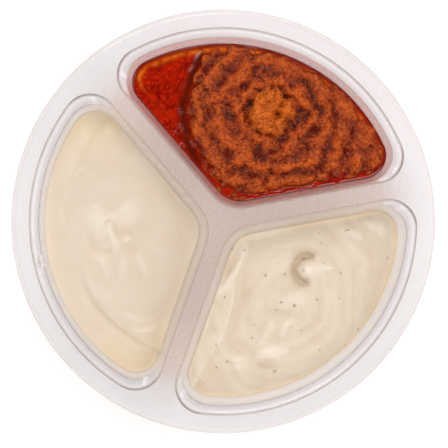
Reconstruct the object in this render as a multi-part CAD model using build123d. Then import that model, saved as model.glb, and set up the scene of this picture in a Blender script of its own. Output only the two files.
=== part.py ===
from build123d import *
import math
import os

# A round clear tray with three filled pots, seen from above as a circle cut in three by a Y of ribs.
# Millimetres, +Z up. The origin is the middle of the base: the pots stand on Z = 0.
# One rib runs to -Y, so the pots look to 90, 210 and 330 degrees.

# Tray
TRAY_DIAMETER = 150.0
TRAY_HEIGHT = 35.0
WALL = 0.5

# Rim: flat flange, then a skirt turned down all round
FLANGE_WIDTH = 6.9
SKIRT_RUN = 1.3
SKIRT_DROP = 2.6
RIM_BEVEL = 0.8

# Ribs and the shallow recess round each pot's mouth
RIB_WIDTH = 6.3
RECESS_DEPTH = 3.0
RECESS_DRAFT = 10.0
RECESS_CORNER_RADIUS = 9.6
RECESS_NOSE_RADIUS = 13.5
MOUTH_BEVEL = 0.4

# Ledge at the bottom of the recess: wide along the rim, narrow along the ribs
LEDGE_WIDTH = 2.5
RIB_LEDGE_WIDTH = 0.6
LEDGE_BEVEL = 0.4

# Pots
POT_COUNT = 3
POT_DRAFT = 12.0
POT_CORNER_RADIUS = 9.8
POT_NOSE_RADIUS = 12.5
FLOOR_EDGE_RADIUS = 3.5

# Dips: how far each one's level lies under the flange, and its clearance to the tray
DIP_CLEARANCE = 0.3
PASTE_HEADSPACE = 9.5
PLAIN_HEADSPACE = 12.0
FLECKED_HEADSPACE = 13.0

# Hills on the dips, placed from the tray's middle, along and across the pot's middle line
PASTE_PEAK = (44.4, -5.6)
PASTE_MOUND_RADIUS = 16.0
PASTE_MOUND_HEIGHT = 3.0
FLECKED_PEAK = (31.7, 10.8)
FLECKED_MOUND_RADIUS = 7.0
FLECKED_MOUND_HEIGHT = 3.0
MOUND_TOP_SHARE = 0.35

# Pool of oil in a hollow of the paste, at the corner where it has run together
OIL_DEPTH = 3.0
OIL_SHORE_RADIUS = 33.0
OIL_REACH = 14.0

# How near to a height a face or edge is taken to be at it
HEIGHT_SLACK = 0.001

# Worked out from the sizes above
RIM_RADIUS = TRAY_DIAMETER / 2
RECESS_RADIUS = RIM_RADIUS - FLANGE_WIDTH
RECESS_INSET = RECESS_DEPTH * math.tan(math.radians(RECESS_DRAFT))
LEDGE_TOP = TRAY_HEIGHT - RECESS_DEPTH
POT_RADIUS = RECESS_RADIUS - RECESS_INSET - LEDGE_WIDTH
POT_HALF_RIB = RIB_WIDTH / 2 + RECESS_INSET + RIB_LEDGE_WIDTH
FLOOR_CORNER_RADIUS = POT_CORNER_RADIUS - (LEDGE_TOP - WALL) * math.tan(math.radians(POT_DRAFT))
# The floor's inner edge is under the dip, so a bevel stands in for its round
FLOOR_BEVEL = 0.6 * min(FLOOR_EDGE_RADIUS, FLOOR_CORNER_RADIUS)
HALF_POT_ANGLE = 180.0 / POT_COUNT


def pot_outline(half_rib, arc_radius, corner_radius, nose_radius):
    """Rounded third of a circle between two ribs, its middle line along +X."""
    half = math.radians(HALF_POT_ANGLE)
    tip = half_rib / math.sin(half)
    reach = 2 * arc_radius
    wedge = Polygon(
        (tip, 0),
        (tip + reach * math.cos(half), -reach * math.sin(half)),
        (tip + reach * math.cos(half), reach * math.sin(half)),
        align=None,
    )
    outline = Circle(arc_radius) & wedge
    corners = outline.vertices().sort_by(Axis.X)[1:]
    outline = fillet(corners, corner_radius)
    nose = outline.vertices().sort_by(Axis.X)[0]
    return fillet(nose, nose_radius)


def inset_outline(half_rib, arc_radius, corner_radius, nose_radius, inset):
    """The same outline drawn in evenly by inset, or out where inset is negative."""
    return pot_outline(
        half_rib + inset, arc_radius - inset, corner_radius - inset, nose_radius - inset
    )


def sink(outline, top, floor, angle):
    """Solid that goes down from an outline at height top to floor, its walls drafted."""
    level = Plane.XY.offset(top)
    block = extrude(level * outline, amount=floor - top)
    walls = block.faces().filter_by(Axis.Z, reverse=True)
    return draft(walls, level, -angle)


def recess_form(offset, floor):
    """Recess round a pot's mouth down to height floor, its walls moved out by offset."""
    outline = inset_outline(
        RIB_WIDTH / 2,
        RECESS_RADIUS,
        RECESS_CORNER_RADIUS,
        RECESS_NOSE_RADIUS,
        -offset / math.cos(math.radians(RECESS_DRAFT)),
    )
    return sink(outline, TRAY_HEIGHT, floor, RECESS_DRAFT)


def pot_form(offset, floor):
    """Pot from the ledge down to height floor, its walls moved out by offset."""
    outline = inset_outline(
        POT_HALF_RIB,
        POT_RADIUS,
        POT_CORNER_RADIUS,
        POT_NOSE_RADIUS,
        -offset / math.cos(math.radians(POT_DRAFT)),
    )
    return sink(outline, LEDGE_TOP, floor, POT_DRAFT)


def mouth_void():
    """Air inside one pot, from its floor to the flange."""
    pot = pot_form(0, WALL)
    pot = chamfer(at_height(pot.edges(), WALL), FLOOR_BEVEL)
    void = recess_form(0, LEDGE_TOP) + pot
    ledge = at_height(void.faces(), LEDGE_TOP)[0]
    return chamfer(ledge.inner_wires()[0].edges(), LEDGE_BEVEL)


def pot_shell():
    """Outer skin of one pot, a wall's thickness outside its void."""
    pot = pot_form(WALL, 0)
    pot = fillet(at_height(pot.edges(), 0), FLOOR_EDGE_RADIUS)
    return recess_form(WALL, LEDGE_TOP - WALL) + pot


def at_height(items, height):
    """Those faces or edges whose middle is at the given height."""
    return items.filter_by_position(Axis.Z, height - HEIGHT_SLACK, height + HEIGHT_SLACK)


def flange_disc():
    """Whole disc of the flange with its skirt, before the pots are let in."""
    skirt_slope = math.atan2(SKIRT_DROP, SKIRT_RUN)
    low = TRAY_HEIGHT - SKIRT_DROP
    top_bend = (RIM_RADIUS - SKIRT_RUN, TRAY_HEIGHT)
    under_bend = (top_bend[0] - WALL * math.tan(skirt_slope / 2), TRAY_HEIGHT - WALL)
    section = Polygon(
        (0, TRAY_HEIGHT - WALL),
        (0, TRAY_HEIGHT),
        top_bend,
        (RIM_RADIUS, low),
        (RIM_RADIUS - WALL / math.sin(skirt_slope), low),
        under_bend,
        align=None,
    )
    under_bevel = RIM_BEVEL - 2 * WALL * math.tan(skirt_slope / 4)
    section = chamfer(section.vertices().sort_by_distance(top_bend)[0], RIM_BEVEL)
    section = chamfer(section.vertices().sort_by_distance(under_bend)[0], under_bevel)
    return revolve(Plane.XZ * section, axis=Axis.Z)


def around(shape):
    """One copy of a shape for each pot, turned to its place."""
    return [in_pot(shape, place) for place in range(POT_COUNT)]


def in_pot(shape, place):
    """A shape drawn on the first pot's middle line along +X, turned to a pot's place."""
    return Rot(0, 0, 90 + place * 360.0 / POT_COUNT) * shape


def make_tray():
    """Clear formed sheet: flange, skirt, three recesses and three pots."""
    tray = flange_disc()
    for shell in around(pot_shell()):
        tray += shell
    for void in around(mouth_void()):
        tray -= void
    mouths = [edge for edge in at_height(tray.edges(), TRAY_HEIGHT) if not edge.is_closed]
    return chamfer(mouths, MOUTH_BEVEL)


def dip_form(headspace):
    """Dip that stands on a pot's floor and fills it up to its headspace, clear of the walls."""
    block = pot_form(-DIP_CLEARANCE, WALL)
    block = chamfer(at_height(block.edges(), WALL), FLOOR_BEVEL + DIP_CLEARANCE)
    return split(block, bisect_by=Plane.XY.offset(TRAY_HEIGHT - headspace), keep=Keep.BOTTOM)


def mound(place, headspace, radius, height):
    """Low hill on a dip's level."""
    hill = Cone(radius, MOUND_TOP_SHARE * radius, height, align=(Align.CENTER, Align.CENTER, Align.MIN))
    return Pos(place[0], place[1], TRAY_HEIGHT - headspace) * hill


def oil_form(gap):
    """Corner of the paste's top that the oil fills, drawn in by gap on the paste's side."""
    level = TRAY_HEIGHT - PASTE_HEADSPACE
    size = TRAY_DIAMETER
    corner = Pos(size / 2, OIL_REACH + gap + size / 2, level) * Box(size, size, 2 * OIL_DEPTH)
    shore = Pos(PASTE_PEAK[0], PASTE_PEAK[1], level) * Cylinder(OIL_SHORE_RADIUS + gap, size)
    return corner - shore


def make_paste():
    """Chunky paste with its mound, and a hollow for the oil."""
    paste = dip_form(PASTE_HEADSPACE)
    paste += mound(PASTE_PEAK, PASTE_HEADSPACE, PASTE_MOUND_RADIUS, PASTE_MOUND_HEIGHT)
    return in_pot(paste - oil_form(0), 0)


def make_oil():
    """Pool of oil on the floor of the paste's hollow."""
    return in_pot(dip_form(PASTE_HEADSPACE) & oil_form(DIP_CLEARANCE), 0)


def make_plain_dip():
    """Smooth cream dip, spread nearly level."""
    return in_pot(dip_form(PLAIN_HEADSPACE), 1)


def make_flecked_dip():
    """Cream dip with herbs and pepper, with a small stirred peak."""
    dip = dip_form(FLECKED_HEADSPACE)
    dip += mound(FLECKED_PEAK, FLECKED_HEADSPACE, FLECKED_MOUND_RADIUS, FLECKED_MOUND_HEIGHT)
    return in_pot(dip, 2)


def export_parts():
    """One file for each separate piece."""
    pieces = {
        "dip_tray": make_tray(),
        "chilli_paste": make_paste(),
        "chilli_oil": make_oil(),
        "plain_dip": make_plain_dip(),
        "flecked_dip": make_flecked_dip(),
    }
    os.makedirs("parts", exist_ok=True)
    for name, piece in pieces.items():
        export_step(piece, f"parts/{name}.step")


if __name__ == "__main__":
    export_parts()
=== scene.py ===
import math
from collections import namedtuple

import bmesh
import bpy
import numpy as np
from bpy.props import FloatProperty, FloatVectorProperty, PointerProperty
from bpy.types import Operator, Panel, PropertyGroup
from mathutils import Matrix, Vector


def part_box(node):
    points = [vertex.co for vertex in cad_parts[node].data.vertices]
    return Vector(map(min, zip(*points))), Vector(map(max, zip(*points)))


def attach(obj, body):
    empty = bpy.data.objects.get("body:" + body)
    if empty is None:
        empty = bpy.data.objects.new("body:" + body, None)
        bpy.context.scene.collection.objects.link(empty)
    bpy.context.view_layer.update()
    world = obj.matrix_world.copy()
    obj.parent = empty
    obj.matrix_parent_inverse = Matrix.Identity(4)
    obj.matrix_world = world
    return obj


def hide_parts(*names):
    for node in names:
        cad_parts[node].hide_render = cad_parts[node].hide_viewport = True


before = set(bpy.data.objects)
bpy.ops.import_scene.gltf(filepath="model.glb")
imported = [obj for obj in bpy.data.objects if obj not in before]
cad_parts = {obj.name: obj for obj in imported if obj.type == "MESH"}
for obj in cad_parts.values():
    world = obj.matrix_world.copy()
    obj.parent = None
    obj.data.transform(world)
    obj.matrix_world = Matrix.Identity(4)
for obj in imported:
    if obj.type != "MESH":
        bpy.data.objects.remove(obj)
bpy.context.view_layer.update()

bl_info = {
    "name": "Three-pot dip tray",
    "version": (1, 0, 0),
    "blender": (4, 5, 0),
    "location": "View3D > Sidebar > Dip tray",
    "description": "A clear formed tray with chilli paste, a plain dip and a flecked dip, and its studio",
    "category": "Object",
}

MM = 0.001
RIM_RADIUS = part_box("dip_tray")[1].x
TRAY_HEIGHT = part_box("dip_tray")[1].z
PASTE_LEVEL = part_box("chilli_oil")[1].z
PLAIN_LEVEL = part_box("plain_dip")[1].z

# The flecked dip's node has a hill on its level. The oil goes on under the paste's uneven shore.
FLECKED_HILL = 3 * MM
FLECKED_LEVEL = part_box("flecked_dip")[1].z - FLECKED_HILL
OIL_SINK = 1.5 * MM
OIL_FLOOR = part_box("chilli_oil")[0].z - OIL_SINK

# Pots, counted anticlockwise from the one on +Y
PASTE_POT, PLAIN_POT, FLECKED_POT = 0, 1, 2
FIRST_POT_ANGLE = math.radians(90)
POT_TURN = math.radians(120)
HALF_POT = math.radians(60)

# Points round a pot's outline
ARC_STEPS = 164
CORNER_STEPS = 42
SIDE_STEPS = 92
NOSE_STEPS = 48
OUTLINE_STEPS = ARC_STEPS + 2 * CORNER_STEPS + 2 * SIDE_STEPS + NOSE_STEPS
RIM_STEPS = 480

# Rings in the bend of a mouth, from a dip's middle to its wall, and on a dip's underside
MOUTH_STEPS = 5
CREAM_RINGS, PASTE_RINGS, OIL_RINGS = 130, 165, 110
UNDERSIDE_RINGS = 5

# How dark the painted shade line is where the sheet bends: at a mouth, at a pot's lip, at the rim's bend, just
# over its edge and at its edge
MOUTH_BEND_SHADE, LIP_BEND_SHADE, RIM_BEND_SHADE, SKIRT_BEND_SHADE, EDGE_BEND_SHADE = 1.0, 0.7, 0.12, 0.1, 0.4

# Gap between the sheet and the creams and paste, and between the sheet and the oil
DIP_GAP, OIL_GAP = 0.05 * MM, 0.12 * MM

# Places in millimetres from the tray's middle. Where the spokes of each dip's mesh meet:
PLAIN_MIDDLE, FLECKED_MIDDLE, PASTE_MIDDLE = (-33.0, -19.0), (33.0, -17.0), (2.0, 39.0)
# The plain dip's tip, the flecked dip's knob and the middle of its rings
PLAIN_TIP, FLECKED_KNOB, FLECKED_SWIRL = (-38.6, -14.1), (34.6, -6.2), (31.5, -19.5)
# The middle of the paste's rings, its peak, and the circle that is its shore against the oil
PASTE_SWIRL, PASTE_PEAK, SHORE_MIDDLE, SHORE_RADIUS = (4.6, 42.8), (3.0, 43.0), (5.7, 43.2), 33.0

# Colour and share of a dip's smear on its wall and of the dip's painted reflection in it, along the rim and along
# the ribs: creams, then paste
WALL_SMEARS_AND_REFLECTIONS = (
    ((0.97, 0.90, 0.82, 0.12), (0.95, 0.80, 0.64, 0.20)),
    ((0.95, 0.55, 0.47, 0.22), (0.62, 0.22, 0.15, 0.32)),
)

# Further colours, which noise and the shape's attributes mix into those of the panel
# The first is the sheet's own milky haze; the second is painted warm shade on the ribs, standing for the shadow
# and the dips' warm light under them.
WALL_HAZE, RIB_WARM_SHADE = (0.88, 0.85, 0.85), (0.74, 0.57, 0.48)
# The drop's clear colour, and the painted shade and refraction seen in it.
DROP_CLEAR, DROP_PAINTED_SHADE = (0.97, 0.95, 0.94), (0.68, 0.55, 0.46)
PLAIN_PALE, PLAIN_SPECK = (0.80, 0.69, 0.57), (0.62, 0.45, 0.28)
# Painted light on the plain dip's ridges and painted shade in its grooves:
PLAIN_PAINTED_LIGHT, PLAIN_PAINTED_SHADE = (0.87, 0.78, 0.66), (0.72, 0.56, 0.38)
# The flecked dip's streak colour is painted light on its stirred rings.
FLECKED_PALE, FLECKED_RING_LIGHT, FLECKED_BRIM = (0.83, 0.71, 0.55), (0.88, 0.78, 0.65), (0.82, 0.60, 0.31)
# Painted light on the flecked dip's ridges, knob and flap, and painted shade in its grooves and round its knob:
FLECKED_PAINTED_LIGHT, FLECKED_PAINTED_SHADE = (0.90, 0.80, 0.67), (0.50, 0.37, 0.23)
HERB, BLUISH_FLECK = (0.20, 0.145, 0.11), (0.22, 0.21, 0.24)
# The first is painted light on the paste's raised peak.
PEAK_PAINTED_LIGHT, PASTE_BIT = (0.88, 0.19, 0.012), (0.66, 0.24, 0.06)
OIL_MOTTLE, OIL_SPECK = (0.46, 0.010, 0.0), (0.80, 0.042, 0.0)
# The first is painted shadow on the oil along the paste's shore and where it shows in the paste's pits.
OIL_SHORE_SHADOW, OIL_EDGE = (0.07, 0.006, 0.001), (0.22, 0.006, 0.0)
FLOOR_GREY, FLOOR_GLOW = (0.74, 0.725, 0.72), (1, 0.99, 0.99)
WHITE = (1, 1, 1)

# A pot's outline: half the rib beside it, the radius of its arc, of its two corners and of its nose
Outline = namedtuple("Outline", "half_rib arc corner nose")


def length(name, mm, note):
    return FloatProperty(name=name, description=note, default=mm * MM, min=0, unit="LENGTH", subtype="DISTANCE")


def offset(name, mm, note):
    return FloatProperty(name=name, description=note, default=mm * MM, unit="LENGTH")


def power(name, default, note):
    return FloatProperty(name=name, description=note, default=default, unit="POWER")


def angle(name, degrees, note):
    turn = math.radians(degrees)
    return FloatProperty(name=name, description=note, default=turn, unit="ROTATION", subtype="ANGLE")


def share(name, default, note):
    return FloatProperty(name=name, description=note, default=default, min=0, max=1, subtype="FACTOR")


def colour(name, default, note):
    return FloatVectorProperty(name=name, description=note, default=default, size=3, min=0, max=1, subtype="COLOR")


class TrayShape(PropertyGroup):
    """Sizes of the formed sheet"""

    wall: length("Wall", 0.5, "Thickness of the sheet")
    flange: length("Flange", 6.9, "Width of the flat flange round the rim")
    skirt_run: length("Skirt run", 1.3, "How far the skirt spreads from the flange's bend")
    skirt_drop: length("Skirt drop", 2.6, "How far the skirt hangs under the flange")
    rib: length("Rib", 6.3, "Width of each rib between two pots")
    recess: length("Recess", 3.0, "Depth of the recess round each mouth")
    ledge: length("Ledge", 2.5, "Width of the ledge along the rim")
    rib_ledge: length("Rib ledge", 0.6, "Width of the ledge along the ribs")
    rib_slope: length("Rib slope", 8.0, "Depth over which a rib's side slopes evenly, its ledge smoothed away")
    recess_corner: length("Recess corner", 9.6, "Radius of the recess at its two corners")
    recess_nose: length("Recess nose", 13.5, "Radius of the recess at the tray's middle")
    pot_corner: length("Pot corner", 9.8, "Radius of the pot at its two corners")
    pot_nose: length("Pot nose", 12.5, "Radius of the pot at the tray's middle")
    bend: length("Bend", 0.5, "Radius of the sheet's small bends, on the upper side")
    floor_bend: length("Floor bend", 3.0, "Radius between a pot's wall and its floor")
    recess_draft: angle("Recess draft", 10, "Slope of the recess walls")
    pot_draft: angle("Pot draft", 12, "Slope of the pot walls")


class TrayLook(PropertyGroup):
    """Finish of the clear sheet"""

    tint: colour("Tint", (0.950, 0.938, 0.944), "What one side of the sheet lets through")
    # Painted shade where the sheet bends, standing for light that the bend turns away; seen edge on, the sheet's
    # own deeper tint.
    bend_shade_and_edge_tint: colour("Edge tint", (0.50, 0.44, 0.42), "What it lets through where it bends or is seen edge on")
    milk: share("Milk", 0.035, "How cloudy one side of the sheet is")
    roughness: share("Roughness", 0.09, "Blur of the sheet's surface")
    grain: length("Grain", 0.02, "Height of the fine frosting that forming leaves")


class DipLook(PropertyGroup):
    """Colours of the dips"""

    plain: colour("Plain cream", (0.745, 0.615, 0.48), "Plain dip")
    plain_shade: colour("Plain, thin", (0.80, 0.64, 0.43), "Plain dip where it lies lower and looks yellower")
    flecked: colour("Flecked cream", (0.70, 0.56, 0.41), "Flecked dip")
    fleck: colour("Fleck", (0.10, 0.065, 0.045), "Pepper and herbs")
    paste: colour("Paste", (0.37, 0.038, 0.0015), "Lumps of the paste")
    # Painted light on the paste's crests; the deep colour paints shade in its hollows and between its grains, with
    # oil pooled there, and also darker patches at random.
    paste_crest_light: colour("Paste, crest", (0.70, 0.116, 0.006), "Crests that stand proud")
    paste_deep: colour("Paste, deep", (0.055, 0.004, 0.001), "Hollows between the lumps")
    oil: colour("Oil", (0.20, 0.003, 0.0), "Oil where it is deep")
    oil_thin: colour("Oil, thin", (0.80, 0.16, 0.010), "Oil where it is thin, along the wall")


class Studio(PropertyGroup):
    """Camera, lights and floor"""

    distance: length("Camera distance", 600, "From the flange up to the camera")
    view_width: length("View width", 157.96, "How much of the flange's plane the photograph takes in")
    centre_x: offset("Off centre X", 0.32, "View's middle beside the tray's")
    centre_y: offset("Off centre Y", -0.92, "View's middle below the tray's")
    roll: angle("Roll", 19.4, "Turn of the photograph")
    key_power: power("Key power", 2.25, "Power of the light over the photograph's upper edge")
    side_power: power("Side power", 1.38, "Power of the light over its right edge")
    end_power: power("End power", 1.45, "Power of the light over its lower edge")
    sky: share("Sky", 0.41, "Strength of the light from all round")


class DipTraySettings(PropertyGroup):
    """Everything that the panel offers"""

    shape: PointerProperty(type=TrayShape)
    tray_look: PointerProperty(type=TrayLook)
    dips: PointerProperty(type=DipLook)
    studio: PointerProperty(type=Studio)


def settings():
    return bpy.context.scene.dip_tray


# Outlines


def arc_points(centre, radius, start, end, steps):
    """Points and inward normals on an arc, without its last point."""
    turns = start + (end - start) * np.arange(steps) / steps
    inward = -np.stack([np.cos(turns), np.sin(turns)], 1)
    return np.array(centre) - radius * inward, inward


def side_points(start, end, steps):
    """Points and inward normals on a straight side, without its last point."""
    start, end = np.array(start), np.array(end)
    points = start + (end - start) * (np.arange(steps) / steps)[:, None]
    along = (end - start) / np.linalg.norm(end - start)
    return points, np.tile([-along[1], along[0]], (steps, 1))


def pot_outline(outline, place):
    """Points and inward normals round one pot's outline, anticlockwise, turned to its place."""
    reach = outline.arc - outline.corner
    off_rib = outline.half_rib + outline.corner
    along_rib = math.sqrt(reach**2 - off_rib**2)
    c, s = math.cos(HALF_POT), math.sin(HALF_POT)
    upper = np.array([along_rib * c + off_rib * s, along_rib * s - off_rib * c])
    lower = upper * [1, -1]
    nose = np.array([(outline.half_rib + outline.nose) / s, 0.0])
    end = math.atan2(upper[1], upper[0])
    flat = HALF_POT + math.pi / 2
    from_rib = np.array([math.cos(flat), math.sin(flat)])
    upper_side = (upper + outline.corner * from_rib, nose + outline.nose * from_rib)
    lower_side = (upper_side[1] * [1, -1], upper_side[0] * [1, -1])
    runs = [
        arc_points((0, 0), outline.arc, -end, end, ARC_STEPS),
        arc_points(upper, outline.corner, end, flat, CORNER_STEPS),
        side_points(*upper_side, SIDE_STEPS),
        arc_points(nose, outline.nose, flat, 2 * math.pi - flat, NOSE_STEPS),
        side_points(*lower_side, SIDE_STEPS),
        arc_points(lower, outline.corner, 2 * math.pi - flat, 2 * math.pi - end, CORNER_STEPS),
    ]
    turned = FIRST_POT_ANGLE + place * POT_TURN
    turn = np.array([[math.cos(turned), math.sin(turned)], [-math.sin(turned), math.cos(turned)]])
    return np.concatenate([r[0] for r in runs]) @ turn, np.concatenate([r[1] for r in runs]) @ turn


def rib_share():
    """For each point of an outline: 1 along the ribs, 0 along the rim, and a ramp round the corners."""
    corner = ramp(np.arange(CORNER_STEPS) / CORNER_STEPS, 0.35, 0.95)
    middle = np.ones(2 * SIDE_STEPS + NOSE_STEPS)
    return np.concatenate([np.zeros(ARC_STEPS), corner, middle, corner[::-1]])


def corner_share():
    """For each point of an outline: 1 at the middle of its two corners, 0 elsewhere."""
    hump = np.sin(math.pi * np.arange(CORNER_STEPS) / CORNER_STEPS)
    return np.concatenate([np.zeros(ARC_STEPS), hump, np.zeros(2 * SIDE_STEPS + NOSE_STEPS), hump])


def bend(before, corner, after, radius, steps):
    """Points that round a corner of a profile with the given radius."""
    before, corner, after = (np.array(p, float) for p in (before, corner, after))
    inward = (before - corner) / np.linalg.norm(before - corner)
    onward = (after - corner) / np.linalg.norm(after - corner)
    half = math.acos(max(-1.0, min(1.0, float(inward @ onward)))) / 2
    middle = corner + (inward + onward) / np.linalg.norm(inward + onward) * radius / math.sin(half)
    first = corner + inward * radius / math.tan(half) - middle
    last = corner + onward * radius / math.tan(half) - middle
    turn = math.pi - 2 * half
    shares = np.arange(steps + 1) / steps
    return [
        tuple(middle + (math.sin((1 - t) * turn) * first + math.sin(t * turn) * last) / math.sin(turn))
        for t in shares
    ]


def recess_outline(shape):
    return Outline(shape.rib / 2, RIM_RADIUS - shape.flange, shape.recess_corner, shape.recess_nose)


def ledge_inset(shape):
    return shape.recess * math.tan(shape.recess_draft)


def mouth_outline(shape):
    """Outline of a pot at the height of its ledge."""
    inset = ledge_inset(shape)
    return Outline(
        shape.rib / 2 + inset + shape.rib_ledge,
        RIM_RADIUS - shape.flange - inset - shape.ledge,
        shape.pot_corner,
        shape.pot_nose,
    )


def wall_inset(shape, height):
    """How far a pot's wall has come in at a height, from its mouth."""
    return (TRAY_HEIGHT - shape.recess - height) * math.tan(shape.pot_draft)


def wall_profile(shape, top, floor, gap=0.0):
    """Inset and height down a pot's wall from height top to height floor, gap inside the wall."""
    start = (wall_inset(shape, top) + gap, top)
    corner = (wall_inset(shape, floor) + gap, floor)
    radius = min(shape.floor_bend, 0.3 * (top - floor))
    after = (corner[0] + 2 * radius, floor)
    return [start] + bend(start, corner, after, radius, 6)


# Meshes


def deselect():
    """Nothing is selected, and nothing is left in edit mode."""
    if bpy.context.object and bpy.context.object.mode != "OBJECT":
        bpy.ops.object.mode_set(mode="OBJECT")
    bpy.ops.object.select_all(action="DESELECT")


def pick(piece):
    """The piece alone is selected and active."""
    deselect()
    piece.select_set(True)
    bpy.context.view_layer.objects.active = piece


def merge(piece):
    """Points that lie on each other become one."""
    pick(piece)
    bpy.ops.object.mode_set(mode="EDIT")
    bpy.ops.mesh.select_all(action="SELECT")
    bpy.ops.mesh.remove_doubles(threshold=0.0001 * MM)
    bpy.ops.object.mode_set(mode="OBJECT")


def add_ring(bm, points, heights, fold, smear_and_reflection=(0, 0, 0, 0)):
    """One ring of points. For its material, fold is how dark the painted shade line is where the sheet bends
    there, and the last is the colour and share of the dip's smear and of its painted reflection on it."""
    fold_layer, smear_and_reflection_layer = bm.verts.layers.float["fold"], bm.verts.layers.float_color["smear_and_reflection"]
    count = len(points)
    ring = []
    for place, z, f, colour in zip(
        points, np.broadcast_to(heights, count), np.broadcast_to(fold, count), np.broadcast_to(smear_and_reflection, (count, 4))
    ):
        vertex = bm.verts.new((*place, z))
        vertex[fold_layer] = f
        vertex[smear_and_reflection_layer] = colour
        ring.append(vertex)
    return ring


def join_rings(bm, outer, inner):
    """Quads between two rings, facing up where the inner ring lies inside the outer one."""
    for j in range(len(outer)):
        k = (j + 1) % len(outer)
        bm.faces.new((outer[j], outer[k], inner[k], inner[j]))


def ring_edges(bm, ring):
    return [bm.edges.get((ring[j - 1], ring[j])) for j in range(len(ring))]


def finish_piece(piece, material, slot, *replaced):
    """Material, finish slot (not used), the nodes that the piece stands for, and the body it rides on."""
    piece.data.materials.clear()
    piece.data.materials.append(material)
    if replaced:
        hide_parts(*replaced)
    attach(piece, "root")


def smooth(piece, limit):
    pick(piece)
    bpy.ops.object.shade_smooth_by_angle(angle=limit)


# Tray


def with_bend_shade(profile, start, end, amount):
    """The profile's points with how dark the painted shade line is at each: most at the middle of start to end."""
    middle = (start + end) / 2
    half = (end - start) / 2 + 1
    return [(*p, amount * max(0.0, 1 - abs(k - middle) / half)) for k, p in enumerate(profile)]


def pot_profiles(shape):
    """Inset, height and fold down the recess and down the pot, each from its own outline."""
    top = TRAY_HEIGHT
    low = top - shape.recess
    inset = ledge_inset(shape)
    head = [(-1.6 * shape.bend, top), (-0.9 * shape.bend, top)]
    head_bend = bend((-1, top), (0, top), (inset, low), shape.bend, MOUTH_STEPS)
    foot_bend = bend((0, top), (inset, low), (inset + 1, low), 0.6 * shape.bend, 3)
    recess = with_bend_shade(head + head_bend + foot_bend, len(head), len(head) + MOUTH_STEPS, MOUTH_BEND_SHADE)
    slope_foot = top - shape.rib_slope
    lip = bend((-1, low), (0, low), (wall_inset(shape, slope_foot), slope_foot), 0.6 * shape.bend, 4)
    wall = [(wall_inset(shape, slope_foot), slope_foot)] + wall_profile(shape, low, shape.wall)[1:]
    wall.append((wall[-1][0] + shape.floor_bend, shape.wall))
    return recess, with_bend_shade(lip + wall, 0, len(lip) - 1, LIP_BEND_SHADE)


def add_pot(bm, shape, place):
    """The sheet's upper side in one pot, from the flange to the floor. Along the ribs, recess and pot run
    into one even slope, with a sharper bend at the corners. Returns its outermost ring."""
    recess, mouth = pot_profiles(shape)
    by_rib = rib_share()
    corner = corner_share()
    reach = ledge_inset(shape) + shape.rib_ledge
    slope_end = reach + wall_inset(shape, TRAY_HEIGHT - shape.rib_slope)
    by_arc, by_side = WALL_SMEARS_AND_REFLECTIONS[place == PASTE_POT]
    smear_and_reflection = np.array(by_arc) + (np.array(by_side) - by_arc) * by_rib[:, None]
    rings = []
    for outline, profile, start in ((recess_outline(shape), recess, 0.0), (mouth_outline(shape), mouth, reach)):
        points, inward = pot_outline(outline, place)
        for k, (step, height, fold) in enumerate(profile):
            inset = start + step
            straight = TRAY_HEIGHT - shape.rib_slope * inset / slope_end
            on_slope = 0.0 if inset >= slope_end else float(ramp(inset, 0.05 * MM, 0.6 * MM))
            heights = height + (straight - height) * by_rib * on_slope
            # Painted shade lines at the bends: none down the pot along the ribs, fainter in the recess along them,
            # and darker at the corners.
            if start:
                fold = fold * (1 - by_rib)
            else:
                fold = fold * (1 - 0.35 * by_rib) + 0.7 * corner * (fold > 0)
            # Down the pot the wall takes the dip's smear and its painted reflection; the recess and the top of the
            # lip take none.
            kept = smear_and_reflection if start and k > 1 else smear_and_reflection * [1, 1, 1, 0]
            rings.append(add_ring(bm, points + inward * step, heights, fold, kept))
    for outer, inner in zip(rings, rings[1:]):
        join_rings(bm, outer, inner)
    bm.faces.new(rings[-1])
    return rings[0]


def add_rim(bm, shape):
    """The sheet's upper side from the flange's outer part over the rim. Returns its innermost ring."""
    fold = (RIM_RADIUS - shape.skirt_run, TRAY_HEIGHT)
    edge = (RIM_RADIUS, TRAY_HEIGHT - shape.skirt_drop)
    rounding = bend((0, TRAY_HEIGHT), fold, edge, 2 * shape.bend, 5)
    profile = with_bend_shade([(fold[0] - 3 * shape.bend, TRAY_HEIGHT)] + rounding, 1, len(rounding), RIM_BEND_SHADE)
    profile += [(edge[0] - 0.1 * MM, edge[1] + 0.2 * MM, SKIRT_BEND_SHADE), (*edge, EDGE_BEND_SHADE)]
    turns = 2 * math.pi * np.arange(RIM_STEPS) / RIM_STEPS
    circle = np.stack([np.cos(turns), np.sin(turns)], 1)
    rings = [add_ring(bm, circle * radius, height, folded) for radius, height, folded in profile]
    for inner, outer in zip(rings, rings[1:]):
        join_rings(bm, outer, inner)
    return rings[0]


def build_tray():
    """One sheet: the rings follow drafted outlines, the flange is filled between them, and the
    sheet gets its thickness below."""
    shape = settings().shape
    bm = bmesh.new()
    bm.verts.layers.float.new("fold")
    bm.verts.layers.float_color.new("smear_and_reflection")
    loops = [add_rim(bm, shape)] + [add_pot(bm, shape, place) for place in range(3)]
    edges = [edge for loop in loops for edge in ring_edges(bm, loop)]
    bmesh.ops.triangle_fill(bm, edges=edges, use_beauty=True, normal=(0, 0, 1))
    mesh = bpy.data.meshes.new("clear_tray")
    bm.to_mesh(mesh)
    bm.free()
    tray = bpy.data.objects.new("clear_tray", mesh)
    bpy.context.scene.collection.objects.link(tray)
    pick(tray)
    sheet = tray.modifiers.new("Sheet", "SOLIDIFY")
    sheet.thickness = shape.wall
    sheet.offset = -1
    sheet.use_even_offset = True
    bpy.ops.object.modifier_apply(modifier=sheet.name)
    smooth(tray, math.radians(50))
    finish_piece(tray, tray_plastic(), "tray_plastic", "dip_tray")


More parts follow.
